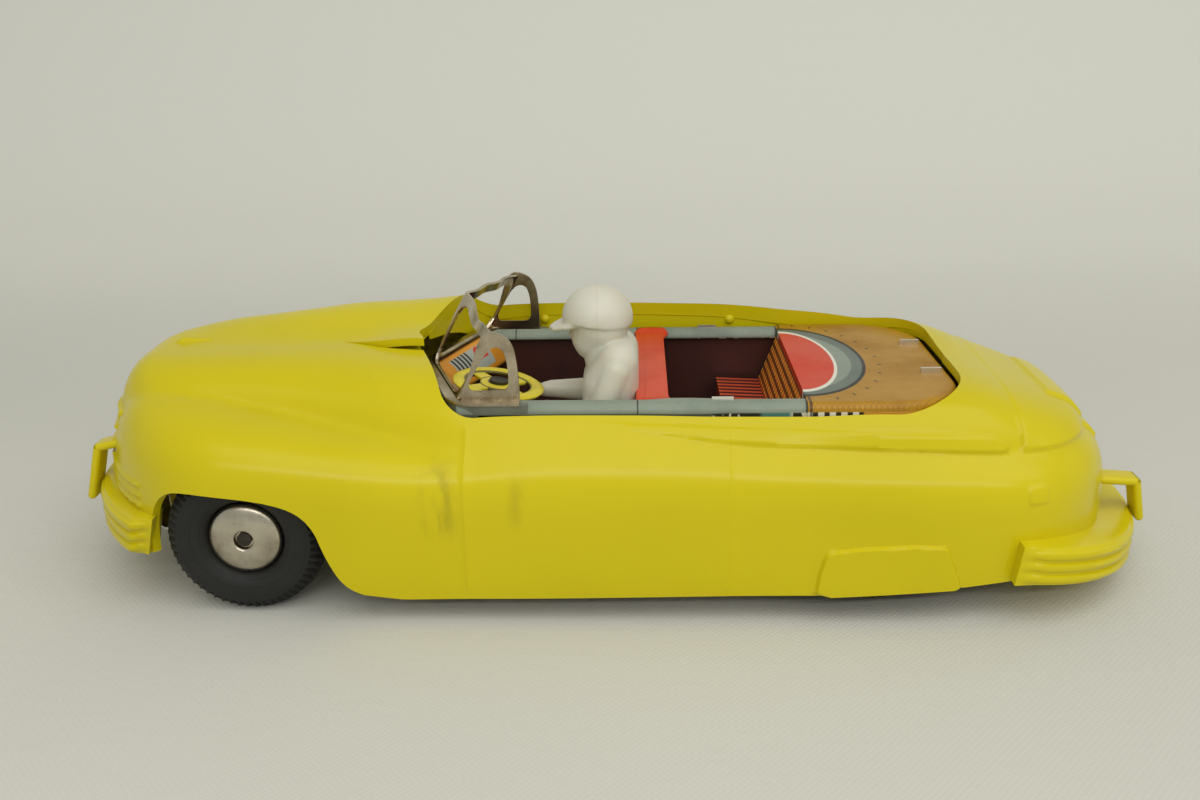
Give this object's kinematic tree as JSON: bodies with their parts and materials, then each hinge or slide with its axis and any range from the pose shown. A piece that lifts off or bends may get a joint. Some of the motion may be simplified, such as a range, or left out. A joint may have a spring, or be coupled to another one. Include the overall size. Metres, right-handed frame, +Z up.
{
  "type": "wind-up toy convertible",
  "caption": "Wind-up toy convertible: a moulded shell over a tin cabin with a seated driver, spring motor geared to the rear axle, side key and swinging front axle.",
  "frame": {"origin": "on the ground under the middle of the wheelbase, on the car's middle plane", "axes": "+X towards the nose, +Y to the car's left side, +Z up"},
  "size_m": [0.2348, 0.1004, 0.0644],
  "materials": {
    "yellow_plastic": "glossy, lightly worn",
    "white_plastic": "satin",
    "printed_tin": "printed and varnished",
    "dash_tin": "printed and varnished",
    "red_tin": "printed and varnished",
    "maroon_tin": "varnished",
    "yellow_tin": "painted",
    "bare_tin": "dull tinplate",
    "nickel": "worn nickel plate",
    "steel": "bare wire and rivets",
    "spring_steel": "blued",
    "brass": "stamped",
    "rubber": "matt black rubber"
  },
  "bodies": {
    "car": {"body_shell": "yellow_plastic", "chassis_plate": "bare_tin", "chassis_screws": "steel", "interior_deck": "printed_tin", "cabin_wall_left": "maroon_tin", "cabin_wall_right": "maroon_tin", "dashboard": "dash_tin", "firewall": "maroon_tin", "front_seat": "red_tin", "rear_seat": "red_tin", "windscreen": "nickel", "driver": "white_plastic", "column_bush": "steel", "kingpin": "steel", "motor_plate_left": "bare_tin", "motor_plate_right": "bare_tin", "motor_pillars": "steel", "click_rivet": "steel", "click_spring": "spring_steel"},
    "front_carrier": {"axle_bracket": "bare_tin"},
    "front_wheels": {"front_axle": "steel", "front_hub_left": "nickel", "front_hub_right": "nickel", "front_tyre_left": "rubber", "front_tyre_right": "rubber"},
    "rear_wheels": {"rear_axle": "steel", "rear_hub_left": "nickel", "rear_hub_right": "nickel", "rear_tyre_left": "rubber", "rear_tyre_right": "rubber", "drive_pinion": "brass"},
    "second_shaft": {"layshaft": "steel", "layshaft_wheel": "brass", "layshaft_pinion": "brass"},
    "barrel": {"barrel_gear": "brass", "spring_barrel": "steel", "barrel_cover": "steel", "mainspring": "spring_steel"},
    "winder": {"winding_arbor": "steel", "ratchet_wheel": "brass", "winding_key": "steel"},
    "pawl": {"click": "steel"},
    "steering": {"steering_wheel": "yellow_tin", "steering_column": "steel"}
  },
  "joints": [
    {"name": "axle_swing", "type": "hinge", "parent": "car", "child": "front_carrier", "pos_m": [0.065, 0, 0.0165], "axis": [0, 0, 1], "range_deg": [-3, 3]},
    {"name": "front_roll", "type": "hinge", "parent": "front_carrier", "child": "front_wheels", "pos_m": [0.065, 0, 0.0165], "axis": [0, 1, 0], "continuous": true},
    {"name": "rear_roll", "type": "hinge", "parent": "car", "child": "rear_wheels", "pos_m": [-0.065, 0, 0.0165], "axis": [0, 1, 0], "continuous": true},
    {"name": "second_shaft_turn", "type": "hinge", "parent": "car", "child": "second_shaft", "pos_m": [-0.07051, 0, 0.03013], "axis": [0, 1, 0], "continuous": true},
    {"name": "barrel_turn", "type": "hinge", "parent": "car", "child": "barrel", "pos_m": [-0.087, 0, 0.02244], "axis": [0, 1, 0], "continuous": true},
    {"name": "key_wind", "type": "hinge", "parent": "car", "child": "winder", "pos_m": [-0.087, 0, 0.02244], "axis": [0, 1, 0], "continuous": true},
    {"name": "click_lift", "type": "hinge", "parent": "car", "child": "pawl", "pos_m": [-0.0805, 0, 0.01294], "axis": [0, 1, 0], "range_deg": [0, 12]},
    {"name": "steering_turn", "type": "hinge", "parent": "car", "child": "steering", "pos_m": [0.0136, 0.0144, 0.0424], "axis": [-0.1736, 0, 0.9848], "continuous": true}
  ],
  "couplings": [
    {"joint": "second_shaft_turn", "follows": "rear_roll", "ratio": -0.4},
    {"joint": "barrel_turn", "follows": "rear_roll", "ratio": 0.12}
  ]
}
